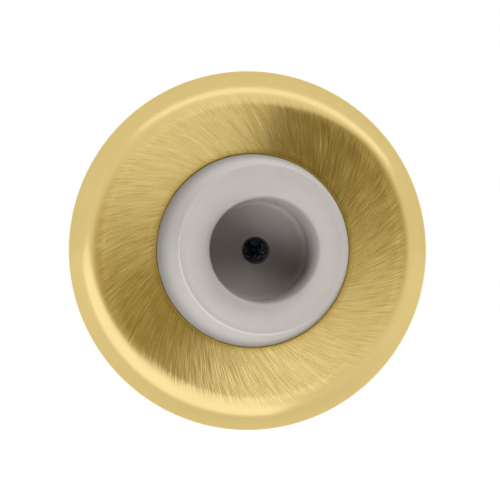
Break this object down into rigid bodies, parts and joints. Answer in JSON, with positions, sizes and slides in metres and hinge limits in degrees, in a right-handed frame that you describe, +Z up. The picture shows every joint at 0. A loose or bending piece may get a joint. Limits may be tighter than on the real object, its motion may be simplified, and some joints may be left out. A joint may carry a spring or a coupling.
{
  "type": "concave wall bumper",
  "caption": "Round wall bumper: a brushed brass cover with a rolled shoulder around a grey rubber nose, hollowed to take a door knob and screwed to the wall through its middle.",
  "frame": {"origin": "centre of the cover's back rim, on the wall", "axes": "+Y into the wall along the screw, -Y out to the room, +Z up"},
  "size_m": [0.0634, 0.0528, 0.0634],
  "materials": {
    "brass": "spirally brushed crown and polished shoulder, clear lacquered",
    "rubber": "moulded warm grey rubber with a satin skin",
    "steel": "bright zinc plate on pressed sheet",
    "screw": "black oxide"
  },
  "bodies": {
    "root": {"brass_cover": "brass", "rubber_bumper": "rubber", "steel_backing_plate": "steel", "mounting_screw": "screw"}
  },
  "joints": []
}
